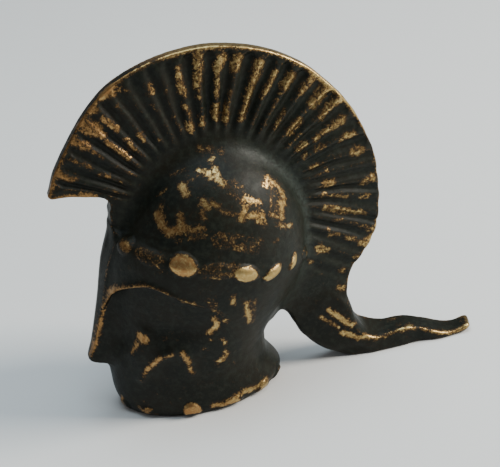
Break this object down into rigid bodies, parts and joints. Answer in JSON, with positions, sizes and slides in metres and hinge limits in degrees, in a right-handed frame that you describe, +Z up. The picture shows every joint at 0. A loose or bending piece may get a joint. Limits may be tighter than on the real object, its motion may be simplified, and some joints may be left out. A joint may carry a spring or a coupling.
{
  "type": "crested corinthian helmet ornament",
  "caption": "Small cast brass Corinthian helmet with a ribbed fan crest, a stud ring, a nasal guard and a tail that props it from behind.",
  "frame": {"origin": "middle of the footprint box, on the surface that the casting stands on", "axes": "+Z up, the face looks toward -X and the crest's tail lies toward +X, the mid-plane is y = 0"},
  "size_m": [0.0602, 0.0236, 0.0534],
  "materials": {
    "patinated_brass": "dark brown-black patina, satin, rubbed through to bare brass on the ribs, rim, studs and dome"
  },
  "bodies": {
    "root": {"helmet_casting": "patinated_brass"}
  },
  "joints": []
}
